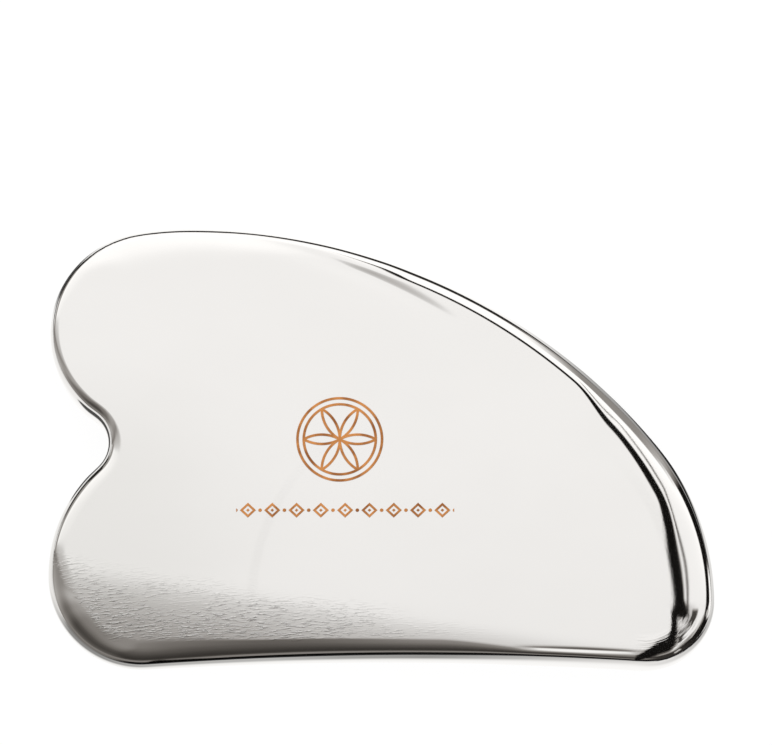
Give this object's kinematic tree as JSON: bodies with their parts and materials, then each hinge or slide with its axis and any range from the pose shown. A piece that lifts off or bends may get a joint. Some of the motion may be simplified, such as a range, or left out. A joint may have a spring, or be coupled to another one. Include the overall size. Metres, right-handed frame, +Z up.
{
  "type": "gua sha scraper",
  "caption": "Heart-ended gua sha massage plate of solid polished steel, with a rolled rim, a convex back, a hollow scraping edge and a thumb notch.",
  "frame": {"origin": "centre of the plate's bounding box, on the underside that it rests on", "axes": "+X from the two lobes to the tip, +Y from the scraping edge to the convex back, +Z up through the thickness"},
  "size_m": [0.085, 0.0576, 0.0065],
  "materials": {
    "polished_steel": "polished"
  },
  "bodies": {
    "root": {"scraper_plate": "polished_steel"}
  },
  "joints": []
}
